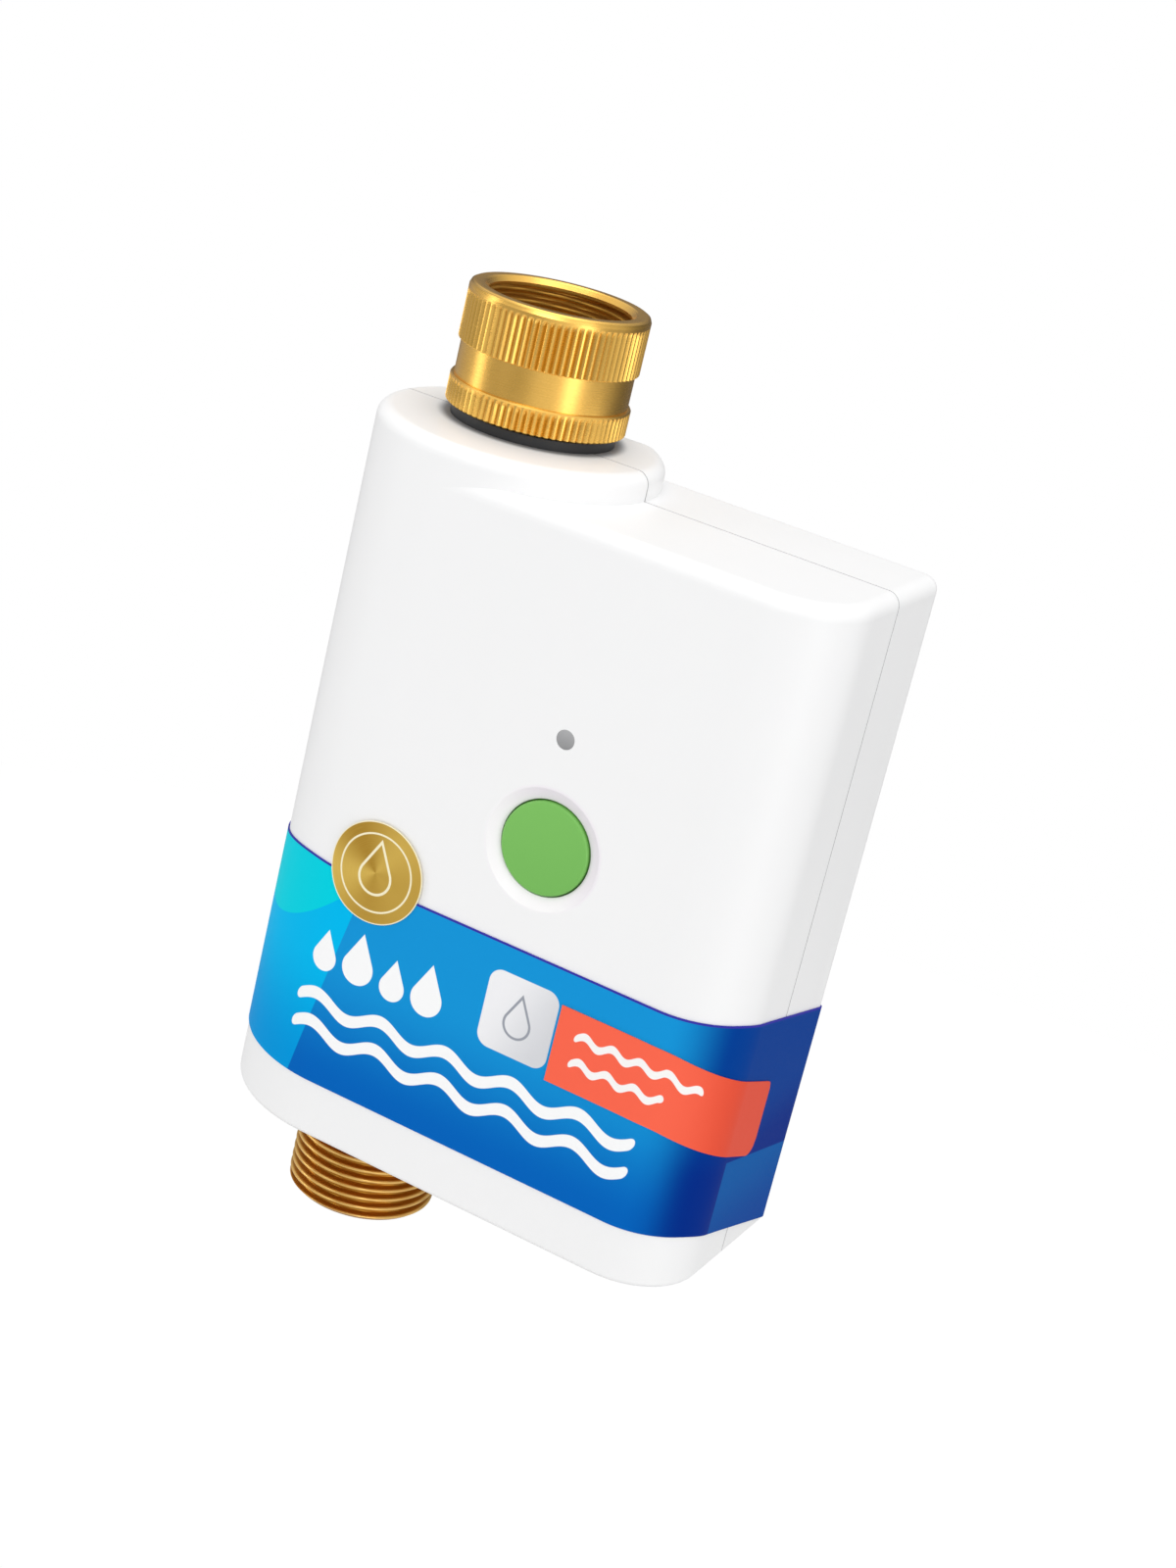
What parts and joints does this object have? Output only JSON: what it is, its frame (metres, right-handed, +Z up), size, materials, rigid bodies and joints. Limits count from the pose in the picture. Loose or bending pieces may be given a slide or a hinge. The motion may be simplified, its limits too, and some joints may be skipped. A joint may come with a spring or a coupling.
{
  "type": "smart irrigation controller",
  "caption": "Tap-mounted irrigation controller: white two-shell case with round valve tower, knurled brass swivel nut on top, threaded brass outlet below, green front button.",
  "frame": {"origin": "On the flow axis, at the top of the inlet washer where the tap's end seats.", "axes": "+Z up along the flow axis, the front with the button faces -Y, +X to the right seen from the front."},
  "size_m": [0.0961, 0.0435, 0.1673],
  "materials": {
    "white_case": "fine satin moulded white plastic",
    "green_cap": "satin moulded green plastic",
    "black_plastic": "moulded black plastic",
    "golden_brass": "turned and knurled brass, bright",
    "aged_brass": "cut brass thread, a little dull",
    "cast_brass": "forged and machined brass",
    "seal_rubber": "moulded black rubber",
    "silicone": "soft grey silicone",
    "steel_screw": "zinc-plated steel",
    "mesh_steel": "woven stainless mesh",
    "chromed": "polished chrome plate",
    "seat_plastic": "white fluoropolymer",
    "gear_plastic": "natural acetal",
    "laminate": "green solder resist on glass laminate",
    "chip_plastic": "black epoxy",
    "tinned": "tinned sheet",
    "nickel_strip": "nickel-plated spring strip",
    "sleeve_plastic": "dark shrink sleeve",
    "connector_plastic": "cream nylon",
    "light_plastic": "frosted clear plastic",
    "cell_wrap": "printed foil wrap, plain",
    "wire_sleeve": "soft wire insulation",
    "blue_print": "printed film, blue gradient",
    "gold_foil": "brushed gold foil sticker",
    "coral_print": "printed film, coral"
  },
  "bodies": {
    "case": {"front_shell": "white_case", "rear_shell": "white_case", "shell_gasket": "silicone", "case_screws": "steel_screw", "inlet_washer": "seal_rubber", "filter_screen": "mesh_steel", "inlet_tail": "cast_brass", "inlet_collar": "black_plastic", "valve_body": "cast_brass", "ball_seats": "seat_plastic", "stem_o_rings": "seal_rubber", "outlet_nipple": "aged_brass", "idler_axle": "steel_screw", "motor_can": "steel_screw", "motor_end_cap": "black_plastic", "motor_lugs": "tinned", "gearbox_base": "steel_screw", "base_screws": "steel_screw", "gearbox_cover": "gear_plastic", "gearbox_screws": "steel_screw", "motor_screws": "steel_screw", "limit_switches": "chip_plastic", "board": "laminate", "board_screws": "steel_screw", "radio_shield": "tinned", "chips": "chip_plastic", "storage_capacitor": "sleeve_plastic", "lead_connectors": "connector_plastic", "push_switch": "chip_plastic", "status_led": "light_plastic", "light_pipe": "light_plastic", "battery_cells": "cell_wrap", "contact_plates": "nickel_strip", "contact_springs": "nickel_strip", "motor_leads": "wire_sleeve", "switch_leads": "wire_sleeve", "battery_leads": "wire_sleeve", "label": "blue_print", "disc_sticker": "gold_foil", "tag_sticker": "coral_print"},
    "nut": {"inlet_nut": "golden_brass"},
    "button": {"button_cap": "green_cap", "switch_plunger": "black_plastic"},
    "valve": {"valve_ball": "chromed", "valve_stem": "cast_brass", "output_gear": "gear_plastic", "gear_clip": "steel_screw"},
    "idler": {"idler_gear": "gear_plastic"},
    "rotor": {"motor_pinion": "cast_brass", "motor_shaft": "steel_screw"},
    "door": {"battery_door": "white_case", "door_screw": "steel_screw", "door_seal": "silicone"}
  },
  "joints": [
    {"name": "nut_spin", "type": "hinge", "parent": "case", "child": "nut", "pos_m": [0, 0, 0], "axis": [0, 0, 1], "continuous": true},
    {"name": "button_press", "type": "slide", "parent": "case", "child": "button", "axis": [0, 1, 0], "range_m": [0, 0.0006], "stiffness_N_per_m": 900, "springref_m": -0.0006},
    {"name": "valve_turn", "type": "hinge", "parent": "case", "child": "valve", "pos_m": [0, 0, -0.112], "axis": [1, 0, 0], "range_deg": [0, 90]},
    {"name": "idler_turn", "type": "hinge", "parent": "case", "child": "idler", "pos_m": [0, -0.008, -0.10003], "axis": [1, 0, 0], "range_deg": [-270, 0]},
    {"name": "rotor_turn", "type": "hinge", "parent": "case", "child": "rotor", "pos_m": [0, -0.011, -0.11216], "axis": [1, 0, 0], "range_deg": [0, 1080]},
    {"name": "door_lift", "type": "slide", "parent": "case", "child": "door", "axis": [0, 1, 0], "range_m": [0, 0.03]}
  ],
  "couplings": [
    {"joint": "idler_turn", "follows": "valve_turn", "ratio": -3},
    {"joint": "rotor_turn", "follows": "valve_turn", "ratio": 12}
  ]
}
